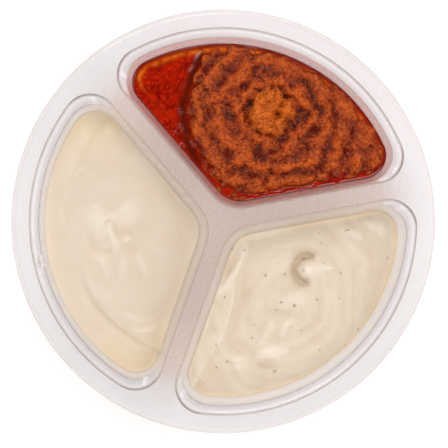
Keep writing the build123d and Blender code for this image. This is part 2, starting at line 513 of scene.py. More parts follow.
def build_droplet():
    """A small clear drop that has dried on the ledge beside the plain dip."""
    deselect()
    bpy.ops.mesh.primitive_uv_sphere_add(segments=48, ring_count=24)
    drop = bpy.context.object
    drop.name = drop.data.name = "ledge_droplet"
    middle = Vector((-56.1, -35.3, 0)) * MM
    out = middle.normalized()
    side = Vector((-out.y, out.x, 0))
    floor = TRAY_HEIGHT - settings().shape.recess + 0.02 * MM
    for vertex in drop.data.vertices:
        x, y, z = vertex.co
        wave = 1 + 0.18 * math.sin(3 * math.atan2(y, x) + 1.0) + 0.10 * math.sin(5 * math.atan2(y, x))
        flat = out * x * 1.3 * MM * wave + side * y * 2.5 * MM * wave
        vertex.co = middle + flat + Vector((0, 0, floor + max(z, 0.04 * z) * 0.55 * MM))
    smooth(drop, math.radians(60))
    finish_piece(drop, dried_drop(), "plain_cream")


# Noise and shaping, all in millimetres


def ramp(value, low, high):
    """Smooth step from 0 at low to 1 at high."""
    t = np.clip((value - low) / (high - low), 0, 1)
    return t * t * (3 - 2 * t)


def bell(value, width):
    """1 at 0, falling smoothly to both sides."""
    return np.exp(-((value / width) ** 2))


def scatter(column, row, seed):
    """A number from 0 to 1 for each square of a grid, the same every time."""
    mixed = (column * 374761393 + row * 668265263 + seed * 974634777) & 0xFFFFFFFF
    mixed = ((mixed ^ (mixed >> 13)) * 1274126177) & 0xFFFFFFFF
    return (mixed ^ (mixed >> 16)) / 2.0**32


def squares(x, y, size):
    """Column and row of each point in a grid of squares, and its place in its square."""
    x, y = x / size, y / size
    column, row = np.floor(x).astype(np.int64), np.floor(y).astype(np.int64)
    return column, row, x - column, y - row


def swell(x, y, size, seed):
    """Smooth noise from about -1 to 1, with lumps of about the given size."""
    column, row, u, v = squares(x, y, size)
    fade_u, fade_v = (t**3 * (t * (t * 6 - 15) + 10) for t in (u, v))

    def pull(i, j):
        turn = 2 * math.pi * scatter(column + i, row + j, seed)
        return np.cos(turn) * (u - i) + np.sin(turn) * (v - j)

    low = pull(0, 0) * (1 - fade_u) + pull(1, 0) * fade_u
    high = pull(0, 1) * (1 - fade_u) + pull(1, 1) * fade_u
    return 1.6 * (low * (1 - fade_v) + high * fade_v)


def layered(x, y, size, seed, layers):
    """Noise with ever finer detail on top."""
    return sum(0.55**k * swell(x, y, size / 2**k, seed + 17 * k) for k in range(layers))


def pebbles(x, y, size, seed):
    """Rounded grains: 1 at the middle of each, 0 between them."""
    column, row, u, v = squares(x, y, size)
    best = np.full(len(x), 9.0)
    for i in (-1, 0, 1):
        for j in (-1, 0, 1):
            dx = i + scatter(column + i, row + j, seed) - u
            dy = j + scatter(column + i, row + j, seed + 5) - v
            best = np.minimum(best, dx * dx + dy * dy)
    return 1 - np.clip(np.sqrt(best) / 0.8, 0, 1) ** 2


def distance_to(x, y, path):
    """Distance of each point to a path of straight runs, how far along it from 0 to 1, and the side."""
    best = np.full(len(x), 1e9)
    side, along = np.zeros(len(x)), np.zeros(len(x))
    for k, ((x0, y0), (x1, y1)) in enumerate(zip(path, path[1:])):
        dx, dy = x1 - x0, y1 - y0
        t = np.clip(((x - x0) * dx + (y - y0) * dy) / (dx * dx + dy * dy), 0, 1)
        d = np.hypot(x - x0 - t * dx, y - y0 - t * dy)
        near = d < best
        best = np.where(near, d, best)
        side = np.where(near, np.sign(dx * (y - y0) - dy * (x - x0)), side)
        along = np.where(near, (k + t) / (len(path) - 1), along)
    return best, along, side


def rounded(path, times=2):
    """The path with its corners cut, so that it runs smoothly."""
    for _ in range(times):
        cut = [path[0]]
        for (x0, y0), (x1, y1) in zip(path, path[1:]):
            cut += [(x0 + t * (x1 - x0), y0 + t * (y1 - y0)) for t in (0.25, 0.75)]
        path = cut + [path[-1]]
    return path


def stroke(x, y, path, height, width):
    """A ridge, or a groove where height is negative, that fades out towards both ends."""
    d, along, _ = distance_to(x, y, rounded(path))
    ends = ramp(along, 0, 0.45) * ramp(1 - along, 0, 0.45)
    return height * ends * bell(d, width * (0.6 + 0.4 * ends))


def strokes(x, y, table, tall, wide):
    """All the strokes of a table, taller by tall and wider by wide than it says."""
    return sum(stroke(x, y, path, tall * height, wide * width) for path, height, width in table)


def bank(x, y, path, height, width, start=0.0, end=0.0):
    """Higher by height on the left of the path, with a soft bank, and level again further off."""
    d, along, side = distance_to(x, y, rounded(path))
    rise = ramp(side * d, -width / 2, width / 2) - ramp(side * d, width / 2, 8 * width)
    if start:
        rise = rise * ramp(along, 0, start)
    if end:
        rise = rise * ramp(1 - along, 0, end)
    return height * rise


def pot_axes(x, y, place):
    """Places along and across a pot's middle line."""
    turned = FIRST_POT_ANGLE + place * POT_TURN
    c, s = math.cos(turned), math.sin(turned)
    return x * c + y * s, y * c - x * s


def away(x, y, place):
    """Distance of each point from a place."""
    return np.hypot(x - place[0], y - place[1])


def polar(x, y, place):
    """Distance and direction of each point from a place."""
    return away(x, y, place), np.arctan2(y - place[1], x - place[0])


# Dips


def build_dip(name, place, level, centre, rings, height, gap=DIP_GAP, floor=None):
    """A closed body in a pot, gap inside its wall, from height floor, or the sheet, to level. Its top is
    shaped by height(x, y, gap, by_rib), in millimetres: gap is the distance to the wall, and by_rib is 1
    along the ribs. It gives the height over the level and values for the material."""
    shape = settings().shape
    floor = floor or shape.wall + gap
    points, inward = pot_outline(mouth_outline(shape), place)
    side = wall_profile(shape, level, floor, gap)[1:]
    count = rings + len(side) + UNDERSIDE_RINGS
    deselect()
    bpy.ops.mesh.primitive_grid_add(x_subdivisions=OUTLINE_STEPS, y_subdivisions=count, size=2)
    piece = bpy.context.object
    piece.name = piece.data.name = name
    grid = np.zeros(len(piece.data.vertices) * 3)
    piece.data.vertices.foreach_get("co", grid)
    grid = grid.reshape(-1, 3)
    ring = np.rint((1 - grid[:, 1]) / 2 * count).astype(int)
    spoke = np.rint((1 + grid[:, 0]) / 2 * OUTLINE_STEPS).astype(int) % OUTLINE_STEPS
    middle = np.array(centre) * MM
    edge = points[spoke] + inward[spoke] * (wall_inset(shape, level) + gap)
    reach = np.clip(ring / rings, 0, 1)
    part = 0.8 * reach + 0.2 * (1 - (1 - reach) ** 2)
    place_xy = middle + (edge - middle) * part[:, None]
    wall_gap = np.abs(np.sum((edge - middle) * inward[spoke], 1)) * (1 - part) / MM
    z = np.full(len(grid), level)
    top = ring <= rings
    x, y = place_xy[:, 0] / MM, place_xy[:, 1] / MM
    rise, values = height(x[top], y[top], wall_gap[top], rib_share()[spoke][top])
    z[top] += rise * MM
    brim = ring == rings
    brim_height = np.zeros(OUTLINE_STEPS)
    brim_height[spoke[brim]] = z[brim] - level
    outward = (brim_height[spoke] * math.tan(shape.pot_draft) * part**12)[:, None]
    place_xy = np.where(top[:, None], place_xy - inward[spoke] * outward, place_xy)
    rows = [(points + inward * inset, low) for inset, low in side]
    last, low = rows[-1]
    shares = 1 - np.arange(1, UNDERSIDE_RINGS + 1) / UNDERSIDE_RINGS
    rows += [(middle + (last - middle) * share, low) for share in shares]
    for step, (row, low) in enumerate(rows, rings + 1):
        here = ring == step
        place_xy[here] = row[spoke[here]]
        z[here] = low
    piece.data.vertices.foreach_set("co", np.column_stack([place_xy, z]).ravel())
    for key, value in values.items():
        layer = piece.data.attributes.new(key, "FLOAT", "POINT")
        whole = np.zeros(len(grid))
        whole[top] = value
        layer.data.foreach_set("value", whole)
    piece.data.update()
    merge(piece)
    smooth(piece, math.radians(180))
    return piece


def plain_height(x, y, gap, by_rib):
    """Spread with a spoon: a plateau with a fold at each end, petals round a small tip, and soft arcs."""
    along, across = pot_axes(x, y, PLAIN_POT)
    rise = 0.055 * (along - 34) + 0.42 * layered(x, y, 17, 3, 2) + 0.05 * swell(x, y, 5, 9)
    fold_a = [(-44, 31), (-50.3, 22), (-51.9, 18.6), (-54.9, 9.1), (-56, 0.2), (-56.4, -5.6), (-54.8, -12)]
    fold_b = [(-46, -29), (-39.8, -37.7), (-34.2, -43.5), (-25.8, -47.6), (-17.7, -50.4), (-9.5, -51.7), (-3, -52)]
    rise += bank(x, y, fold_a, 0.25, 4.0, end=0.55)
    rise += bank(x, y, fold_b, 0.9, 2.6, start=0.5)
    r, turn = polar(x, y, PLAIN_TIP)
    petals = 0.10 * swell(0.35 * r + 2.0 * turn, 0.12 * r, 1, 21) * ramp(r, 2, 9)
    rise += 1.3 * np.exp(-((r / 1.5) ** 1.3)) + petals
    spooned = (
        ([(-39.2, -13.4), (-38.6, -14.1), (-36.6, -16.9), (-34.3, -20.3), (-32.3, -24.6)], 0.95, 1.15),
        ([(-37.6, -13.9), (-33.4, -15.8), (-28.6, -15.4)], -0.95, 1.5),
        ([(-37.6, -7.6), (-33.8, -9.6), (-29.3, -12.1)], 0.75, 3.2),
        ([(-45.2, -9), (-42.3, -15.6), (-39.4, -21.2)], 0.80, 2.4),
        ([(-45.6, -19.5), (-41.4, -25), (-36.7, -24.9), (-34.5, -22.4)], -0.75, 1.3),
        ([(-31.5, -22.6), (-26.6, -21.4), (-24.8, -16.6)], -0.6, 1.8),
        ([(-37.2, -27), (-34.9, -29.7), (-31.4, -32.6)], 0.45, 1.2),
        ([(-25.2, -22), (-21.7, -25.2), (-19, -29)], 0.45, 0.9),
        ([(-28.6, -22.4), (-28.8, -28.7), (-27, -33.5)], 0.40, 1.1),
        ([(-24.5, -43.2), (-18.6, -44.4), (-13.4, -42.6)], 0.40, 0.8),
        ([(-18.4, -47.6), (-13.3, -47.4), (-8.8, -43.5)], 0.35, 0.8),
        ([(-17, -1.2), (-13.6, -9.2), (-7.8, -16.8)], -0.40, 1),
        ([(-49.4, 7.5), (-43.6, 10.9), (-34.9, 10.5), (-26.9, 5.6), (-22.1, -1.9)], 0.30, 2.2),
        ([(-50.5, -21), (-44.5, -33), (-33.5, -40.5), (-22, -42.5)], 0.30, 2),
    )
    # These strokes shape the relief, and the same values paint light on its ridges and shade in its grooves.
    relief_shade = strokes(x, y, spooned, 1.1, 1.55)
    relief_shade += stroke(x, y, fold_a, -0.55, 2.0) + stroke(x, y, fold_b, -0.5, 1.8)
    rise += relief_shade + 0.8 * np.exp(-gap / 0.9) + 1.2 * ramp(gap, 9, 0) * (1 - by_rib)
    low_end = ramp(np.abs(across), 24, 44) * ramp(along, 14, 34)
    return rise, {"thin": 0.9 * low_end + 0.35 * np.exp(-gap / 2.5), "relief_shade": relief_shade}


def flecked_height(x, y, gap, by_rib):
    """Stirred in rings, with a curled tip, a fold along the rib and a pit near the front."""
    rise = 0.35 * layered(x, y, 19, 8, 2) + 0.06 * swell(x, y, 5, 6)
    fold = [(4, 3), (8.6, -1.8), (10.9, -4.4), (12.3, -8.4), (12, -18), (14.1, -24.8), (14.5, -32.3)]
    fold += [(14.9, -40.4), (12.5, -48.2), (11, -56)]
    fold_gap, _, fold_side = distance_to(x, y, rounded(fold, 3))
    flap = ramp(-fold_side * fold_gap, -0.5, 1.5)
    rise += 1.1 * flap * (1 - 0.5 * ramp(fold_gap, 2, 8))
    r, knob_turn = polar(x, y, FLECKED_KNOB)
    d, part, _ = distance_to(x, y, [FLECKED_KNOB, (38.3, -4.3), (43.4, -2.6)])
    tail = (2.9 - 2.3 * part) * bell(d, 3.1 * (1 - part) + 0.5)
    knob = np.maximum(3.0 * np.exp(-((r / 3.3) ** 2.6)), tail)
    dx, dy = x - FLECKED_SWIRL[0], y - FLECKED_SWIRL[1]
    ring = np.hypot(dx, dy * 0.82) + 1.6 * swell(x, y, 15, 2)
    turn = np.arctan2(dy, dx)
    stirred = 0.8 * swell(ring, 2.2 * turn, 3.1, 4) + 0.35 * swell(ring, 3.5 * turn, 1.1, 5)
    rise += 0.16 * stirred * ramp(ring, 5, 12) * (0.85 + 0.6 * swell(x, y, 14, 61)) * (1 - 0.7 * flap)
    spooned = (
        ([(14, -9), (13.6, -18), (15.8, -25.5), (16.2, -33), (16.4, -41)], -0.45, 1.8),
        ([(11.3, -9), (9.6, -17), (6.6, -25.5)], 0.75, 1.2),
        ([(9.2, -9.5), (7.6, -17), (5.6, -23)], -0.28, 1.1),
        ([(27, -44.6), (31.5, -44.2), (36, -42.4)], -0.6, 1.9),
        ([(26, -42.2), (32.7, -39.4), (38, -36)], 0.85, 1.8),
        ([(19.5, -48), (26.1, -43.6)], 0.5, 1.8),
        ([(26.5, -37.6), (28.5, -32.4), (29.2, -27.5)], 0.45, 1),
        ([(34.2, -35.6), (33.2, -29.5), (36.4, -24.2)], 0.45, 1),
        ([(27, -22.5), (34.1, -18.6), (37.4, -13.6)], 0.45, 2),
        ([(39, 11.6), (45.2, 12.4), (49.6, 9.4)], 0.55, 1.1),
        ([(45.5, 17), (52.3, 17.6), (57, 13.6)], 0.55, 1.2),
        ([(6.1, -4.9), (10.9, -0.6), (17.9, 2.8), (26, 7)], 0.6, 1.5),
    )
    # These strokes shape the relief, and the same values paint light on its ridges and shade in its grooves.
    relief_shade = strokes(x, y, spooned, 1.3, 1.3)
    knob_turn = np.degrees(knob_turn) % 360
    sides = 0.75 + 0.25 * np.abs(np.cos(np.radians(knob_turn - 100)))
    round_knob = ramp(knob_turn, 62, 112) * ramp(knob_turn, 325, 262) * sides
    moat = (bell(r - 4.6, 1.5) + 0.4 * bell(r - 6.5, 2.4)) * round_knob
    rise += knob - 2.1 * moat + relief_shade + 0.22 * flap * layered(x, y, 6, 71, 3)
    # Colour only: painted highlight on the knob and the flap, painted shadow in the moat round the knob.
    relief_shade += 0.9 * knob - 2.0 * moat + flap * (0.55 + 0.5 * swell(x, y, 5, 72))
    rise += 0.7 * np.exp(-gap / 0.8)
    bits = {
        0.4: ((48.7, -12.3), (48.1, -32.1), (35.9, 4.3), (34.1, 7.5), (35.5, -9.5), (39.6, -27.5)),
        0.5: (
            (9.6, -25.4), (43.5, 12), (10.8, -7.2), (41.2, -15.3), (23.7, -36.1), (15.2, -50.4), (58.5, -20.4),
            (33, -7), (46.2, -3.4), (28.6, -23.9),
        ),
        0.6: ((27.2, -10.5), (42.8, 11.7), (29.4, -20.5), (18.2, -47.2), (60.3, 7.2), (20.9, -13.3)),
        0.7: ((31.9, -3.1),),
        0.8: ((6.5, -8.3), (34.3, -20), (35.4, -44.7)),
    }
    fleck = sum(ramp(away(x, y, place) / size, 1.15, 0.35) for size in bits for place in bits[size])
    edge = bell(gap - 0.45, 0.55)
    return rise, {"ring_light": stirred * (1 - 0.6 * flap), "thin": edge, "fleck": fleck, "relief_shade": relief_shade}


def shore_gap(x, y, wave):
    """How far each point lies outside the paste's shore, which is uneven by wave."""
    return away(x, y, SHORE_MIDDLE) - SHORE_RADIUS + wave * swell(x, y, 5, 9)


def paste_height(x, y, gap, by_rib):
    """Coarse lumps stirred into rings round a peak. The paste sinks under the oil at the wall and the corner."""
    warp_x = x + 1.1 * swell(x, y, 4.5, 11)
    warp_y = y + 1.1 * swell(x, y, 4.5, 12)
    r, turn = polar(warp_x, warp_y, PASTE_SWIRL)
    wander = 3.3 * swell(x, y, 12, 2) + 0.8 * swell(x, y, 5, 27) + 0.9 * turn / math.pi
    rings = np.cos(2 * math.pi * (r + wander - 11.5) / 7.6) * ramp(r, 6, 9)
    lumps = pebbles(warp_x, warp_y, 3.3, 1) - 0.5
    small = pebbles(warp_x, warp_y, 1.5, 2) - 0.5
    grains = pebbles(x, y, 0.8, 3) - 0.5
    patchy = layered(x, y, 6.5, 6, 3)
    shore = shore_gap(x, y, 1.3)
    left = ramp(x, -13, -17)
    corner = ramp(shore, -1.5, 1.0) * left
    sunk = ramp(shore, 1.5, 5.5) * left
    peak_gap = np.hypot(x - PASTE_PEAK[0], (y - PASTE_PEAK[1]) * 0.9)
    cluster = ramp(peak_gap + 1.8 * swell(x, y, 3.4, 33), 8.6, 6.4)
    knobs = swell(x, y, 3.2, 41)
    rise = 0.7 + 1.3 * bell(r, 18) + 0.6 * rings + cluster * (2.1 + 1.7 * knobs)
    rise += 0.85 * lumps + 0.6 * small + 0.28 * grains + 0.6 * patchy
    pits = [(6.4, 49.0), (6.1, 42.5), (10.4, 41.1), (8.1, 28.9), (-9.1, 48.0), (19.3, 41.5)]
    pit = sum(bell(away(x, y, place), 1.25) for place in pits)
    moat = bell(r - 9.2 + wander, 1.5)
    rise -= 2.8 * pit + 0.9 * moat + 2.0 * np.exp(-gap / 1.6) + 2.7 * corner + 1.4 * sunk
    # Colour only: higher on the rings, lumps and peak for painted light, lower in the pits, the moat and near the
    # wall for painted shade and pooled oil.
    crest_shade = 0.54 * rings + 0.75 * lumps + 0.55 * small + 0.40 * patchy + 0.35 * grains
    crest_shade += cluster * (0.4 + 0.9 * knobs) - 1.5 * pit - 0.45 * moat - 0.35 * ramp(gap, 3, 0)
    return np.maximum(rise, -2.9), {"crest_shade": crest_shade, "peak": cluster}


def oil_height(x, y, gap, by_rib):
    """Nearly level, with a few bubbles, and drawn up at the wall and along the paste's shore."""
    shore = shore_gap(x, y, 0.7)
    beside = bell(shore - 0.8, 1.9) * ramp(x, -11, -17)
    paste, _ = paste_height(x, y, gap, by_rib)
    rise = 0.5 * np.exp(-gap / 0.55) + 0.35 * beside
    rise += 0.2 * bell(paste + 0.1, 0.4) * ramp(-shore, 0.0, 1.5)
    rise += 0.05 * swell(x, y, 8, 5)
    bubbles = {1.1: (-27.8, 31.9), 1.2: (-25.7, 26.5), 1.0: (-19.5, 22.5), 0.7: (-26.4, 24.2), 0.8: (-22.6, 20.8)}
    rise += sum(0.8 * size * ramp(away(x, y, place) / size, 1.2, 0.2) for size, place in bubbles.items())
    uneven = 0.62 + 0.5 * swell(x, y, 2.6, 15) + 0.3 * swell(x, y, 0.9, 16)
    film = bell(gap - 2.0 - 2.2 * by_rib, 1.0 - 0.45 * by_rib) * (1 - 0.92 * by_rib) * uneven
    # Where the oil shows in the paste's pits; with the band beside the shore it takes a painted shadow.
    inside = ramp(-shore, 0.5, 2.0) * ramp(gap, 1.8, 3.6)
    edge = bell(gap, 1.2 - 0.7 * by_rib)
    return rise, {"film": film, "shore": np.maximum(beside, 0.8 * inside), "edge": edge}


# Materials


class Nodes:
    """The nodes of a material or of the world, with short calls to add and join them."""

    def __init__(self, owner):
        self.owner = owner
        owner.use_nodes = True
        self.tree = owner.node_tree
        self.tree.nodes.clear()

    def put(self, socket, value):
        """Fills a socket with a value or a colour, or joins it to another node's output."""
        if isinstance(value, bpy.types.NodeSocket):
            self.tree.links.new(value, socket)
        elif socket.type == "RGBA":
            socket.default_value = (*value, 1)
        else:
            socket.default_value = value

    def add(self, kind, inputs=None, **values):
        """A new node with its inputs, by name or number, and its other values."""
        node = self.tree.nodes.new("ShaderNode" + kind)
        for key, value in values.items():
            setattr(node, key, value)
        for key, value in (inputs or {}).items():
            self.put(node.inputs[key], value)
        return node

    def shader(self, kind, **inputs):
        """The output of a new shader. Underscores stand for the spaces in the names of its inputs."""
        return self.add(kind, {key.replace("_", " "): value for key, value in inputs.items()}).outputs[0]

    def blend(self, share, a, b):
        """Shader a, and shader b where share is 1."""
        return self.add("MixShader", {0: share, 1: a, 2: b}).outputs[0]

    def mix(self, share, a, b):
        """Colour a, and colour b where share is 1."""
        node = self.add("Mix", data_type="RGBA")
        sockets = {socket.identifier: socket for socket in (*node.inputs, *node.outputs)}
        for key, value in (("Factor_Float", share), ("A_Color", a), ("B_Color", b)):
            self.put(sockets[key], value)
        return sockets["Result_Color"]

    def object_point(self):
        return self.add("TexCoord").outputs["Object"]

    def attribute(self, name):
        return self.add("Attribute", attribute_name=name).outputs["Fac"]

    def noise(self, size, detail, roughness=0.5):
        """Noise with lumps of the given size in metres."""
        inputs = {"Vector": self.object_point(), "Scale": 1 / size, "Detail": detail, "Roughness": roughness}
        return self.add("TexNoise", inputs).outputs["Fac"]

    def cells(self, size):
        """Cells of the given size in metres."""
        return self.add("TexVoronoi", {"Vector": self.object_point(), "Scale": 1 / size}).outputs

    def maths(self, operation, a, b):
        return self.add("Math", {0: a, 1: b}, operation=operation).outputs[0]

    def times(self, a, b):
        return self.maths("MULTIPLY", a, b)

    def plus(self, a, b):
        return self.maths("ADD", a, b)

    def spread(self, value, low, high, to_low=0.0, to_high=1.0):
        """The range from low to high drawn out to another range, and level on either side."""
        inputs = {"Value": value, "From Min": low, "From Max": high, "To Min": to_low, "To Max": to_high}
        return self.add("MapRange", inputs, clamp=True).outputs["Result"]

    def bump(self, height, distance, strength=1.0):
        inputs = {"Height": height, "Distance": distance, "Strength": strength}
        return self.add("Bump", inputs).outputs["Normal"]

    def surface(self, shader, output="OutputMaterial"):
        self.add(output, {"Surface": shader})
        return self.owner


def new_material(name):
    return Nodes(bpy.data.materials.new(name))


def tray_plastic():
    """Clear thin sheet: what is behind it shows straight through, greyer seen edge on and with painted shade
    lines at its bends, and it mirrors more the flatter it is seen. Fine frosting and streaks on the ribs make
    it cloudy; the ribs carry a painted warm shade, and the pot walls a smear and a painted reflection of the dips."""
    look = settings().tray_look
    n = new_material("tray_plastic")
    facing = n.add("LayerWeight", {"Blend": 0.5}).outputs["Facing"]
    mirrored = n.maths("MAXIMUM", n.times(n.maths("POWER", facing, 3.4), 0.78), 0.035)
    # Painted shade at the bends from the fold attribute, and the sheet's deeper tint seen edge on.
    edge = n.plus(n.attribute("fold"), n.times(n.maths("POWER", facing, 3.0), 0.04))
    film = n.shader("BsdfTransparent", Color=n.mix(n.maths("MINIMUM", edge, 1.0), look.tint, look.bend_shade_and_edge_tint))
    spot = n.object_point()
    flat = n.add("VectorMath", {0: spot, 1: (1, 1, 0)}, operation="MULTIPLY").outputs[0]
    radius = n.add("VectorMath", {0: flat}, operation="LENGTH").outputs["Value"]
    height = n.add("SeparateXYZ", {0: spot}).outputs["Z"]
    # On the ribs the cloudy share follows frosted streaks and carries a painted warm shade.
    rib = n.times(n.spread(radius, 69 * MM, 56 * MM), n.spread(height, 29 * MM, 34 * MM))
    drawn = n.add("Mapping", {"Vector": spot, "Rotation": (0, 0, -0.34), "Scale": (420, 30, 30)}).outputs[0]
    lines = n.add("TexNoise", {"Vector": drawn, "Scale": 1.0, "Detail": 3.0}).outputs["Fac"]
    streaks = n.plus(n.times(lines, 0.7), n.times(n.noise(14 * MM, 3), 0.3))
    veil = n.times(rib, n.spread(streaks, 0.32, 0.68, 0.27, 0.38))
    speckle = n.spread(n.noise(0.7 * MM, 4, 0.7), 0.45, 0.75, 0.6 * look.milk, 1.8 * look.milk)
    # The dip's smear on the walls and its painted reflection in them.
    smear_and_reflection = n.add("Attribute", attribute_name="smear_and_reflection").outputs
    frost_and_shade = n.plus(n.plus(speckle, veil), smear_and_reflection["Alpha"])
    # Cloudy colour: the sheet's haze, painted warm shade on the ribs, and on the walls the dips' smear with their
    # painted reflection.
    cloudy = n.mix(rib, WALL_HAZE, RIB_WARM_SHADE)
    cloudy = n.mix(n.spread(smear_and_reflection["Alpha"], 0.0, 0.2), cloudy, smear_and_reflection["Color"])
    grain = n.bump(n.noise(0.6 * MM, 3), look.grain, 0.35)
    cloud = n.shader("BsdfPrincipled", Base_Color=cloudy, Roughness=0.5, Specular_IOR_Level=0.0, Normal=grain)
    gloss = n.shader("BsdfGlossy", Color=WHITE, Roughness=look.roughness, Normal=grain)
    return n.surface(n.blend(mirrored, n.blend(frost_and_shade, film, cloud), gloss))


def dried_drop():
    """Cloudy, wet-looking drop with brownish patches of painted shade and refraction."""
    n = new_material("dried_drop")
    shade_patches = n.spread(n.noise(1.1 * MM, 3), 0.45, 0.62)
    clear = n.shader("BsdfTransparent", Color=DROP_CLEAR)
    skin = n.shader("BsdfPrincipled", Base_Color=n.mix(shade_patches, DROP_CLEAR, DROP_PAINTED_SHADE), Roughness=0.12)
    return n.surface(n.blend(0.5, clear, skin))


def dip_surface(n, base, normal, roughness, specular, soft, reach, depth):
    """A moist body that a share of the light, soft, gets into: depth times reach in red, green and blue."""
    skin = {"Base_Color": base, "Normal": normal, "Roughness": roughness, "Specular_IOR_Level": specular}
    inside = {"Subsurface_Weight": soft, "Subsurface_Radius": reach, "Subsurface_Scale": depth}
    return n.surface(n.shader("BsdfPrincipled", **skin, **inside))


def cream_surface(n, base, size, depth):
    """Cream with wrinkles of the given size and depth."""
    wrinkles = n.bump(n.noise(size, 3), depth, 0.5)
    return dip_surface(n, base, wrinkles, 0.38, 0.5, 0.15, (1.0, 0.7, 0.4), 1.0 * MM)


def paint_relief_shade(n, base, light, dark):
    """Painted light on the ridges that the spoon left, and painted shade in its grooves."""
    relief_shade = n.attribute("relief_shade")
    base = n.mix(n.spread(relief_shade, 0.05, 1.0, 0.0, 0.65), base, light)
    return n.mix(n.spread(relief_shade, -0.08, -1.3, 0.0, 0.65), base, dark)


def plain_cream():
    look = settings().dips
    n = new_material("plain_cream")
    cloud = n.spread(n.noise(11 * MM, 3), 0.35, 0.65)
    base = n.mix(n.attribute("thin"), look.plain, look.plain_shade)
    base = n.mix(n.times(cloud, 0.4), base, PLAIN_PALE)
    base = paint_relief_shade(n, base, PLAIN_PAINTED_LIGHT, PLAIN_PAINTED_SHADE)
    specks = n.spread(n.cells(4.5 * MM)["Distance"], 0.035, 0.06, 0.35, 0.0)
    base = n.mix(specks, base, PLAIN_SPECK)
    return cream_surface(n, base, 1.6 * MM, 0.05 * MM)


def add_flecks(n, base, look):
    """Pepper and herb specks of three sizes, the largest of them bluish."""
    for size, reach, chance, tone, amount in (
        (1.5 * MM, 0.12, 0.84, look.fleck, 0.35),
        (3.3 * MM, 0.08, 0.66, look.fleck, 0.5),
        (6.5 * MM, 0.075, 0.66, BLUISH_FLECK, 0.5),
    ):
        cell = n.cells(size)
        blur = n.plus(cell["Distance"], n.times(n.noise(0.25 * MM, 2), 0.05))
        dot = n.spread(blur, reach, reach + 0.035, amount, 0.0)
        chosen = n.spread(n.add("SeparateColor", {0: cell["Color"]}).outputs[0], chance, chance + 0.01)
        base = n.mix(n.times(dot, chosen), base, tone)
    return base


def flecked_cream():
    look = settings().dips
    n = new_material("flecked_cream")
    cloud = n.spread(n.noise(7 * MM, 3), 0.35, 0.65)
    base = n.mix(n.times(cloud, 0.35), look.flecked, FLECKED_PALE)
    # Painted light: paler where the stirred rings stand higher.
    base = n.mix(n.spread(n.attribute("ring_light"), -0.9, 1.0, 0.0, 0.60), base, FLECKED_RING_LIGHT)
    base = n.mix(n.times(n.attribute("thin"), 0.55), base, FLECKED_BRIM)
    base = paint_relief_shade(n, base, FLECKED_PAINTED_LIGHT, FLECKED_PAINTED_SHADE)
    frayed = n.spread(n.noise(0.5 * MM, 2), 0.3, 0.6, 0.15, 0.75)
    base = n.mix(n.times(n.attribute("fleck"), frayed), base, HERB)
    return cream_surface(n, add_flecks(n, base, look), 1.0 * MM, 0.04 * MM)


def chilli_paste():
    look = settings().dips
    n = new_material("chilli_paste")
    grain = n.noise(0.9 * MM, 5, 0.7)
    # Painted light on the crests, and painted shade in the hollows, partly oil pooled there.
    crest_shade = n.plus(n.attribute("crest_shade"), n.spread(grain, 0.3, 0.7, -0.55, 0.55))
    base = n.mix(n.spread(crest_shade, -0.85, 0.15), look.paste_deep, look.paste)
    base = n.mix(n.spread(crest_shade, 0.1, 1.25), base, look.paste_crest_light)
    # Painted light on the raised peak.
    base = n.mix(n.times(n.attribute("peak"), n.spread(grain, 0.36, 0.56, 0.15, 0.85)), base, PEAK_PAINTED_LIGHT)
    # Painted shade in the gaps between the grains.
    pulp = n.cells(1.2 * MM)["Distance"]
    between = n.plus(pulp, n.spread(n.noise(0.45 * MM, 3), 0.3, 0.7, -0.15, 0.15))
    base = n.mix(n.spread(between, 0.5, 0.95, 0.0, 0.45), base, look.paste_deep)
    bits = n.spread(n.noise(0.55 * MM, 2), 0.60, 0.68, 0.0, 0.55)
    base = n.mix(bits, base, PASTE_BIT)
    dark = n.spread(n.noise(1.6 * MM, 4, 0.6), 0.34, 0.46, 0.55, 0.0)
    base = n.mix(dark, base, look.paste_deep)
    fine = n.bump(n.plus(n.noise(0.7 * MM, 5, 0.65), n.times(pulp, -0.6)), 0.6 * MM)
    return dip_surface(n, base, fine, 0.2, 0.28, 0.08, (1.0, 0.35, 0.1), 0.8 * MM)


def chilli_oil():
    look = settings().dips
    n = new_material("chilli_oil")
    mottle = n.spread(n.noise(3.0 * MM, 6, 0.66), 0.38, 0.62)
    base = n.mix(mottle, look.oil, OIL_MOTTLE)
    specks = n.spread(n.noise(1.0 * MM, 4, 0.7), 0.54, 0.64, 0.0, 0.6)
    base = n.mix(specks, base, OIL_SPECK)
    # Painted shadow along the paste's shore and in its pits.
    base = n.mix(n.times(n.attribute("shore"), 0.9), base, OIL_SHORE_SHADOW)
    base = n.mix(n.attribute("film"), base, look.oil_thin)
    base = n.mix(n.attribute("edge"), base, OIL_EDGE)
    swells = n.bump(n.noise(2.2 * MM, 2), 0.03 * MM, 0.5)
    return dip_surface(n, base, swells, 0.11, 0.28, 0.1, (1.0, 0.25, 0.05), 1.5 * MM)


# Studio


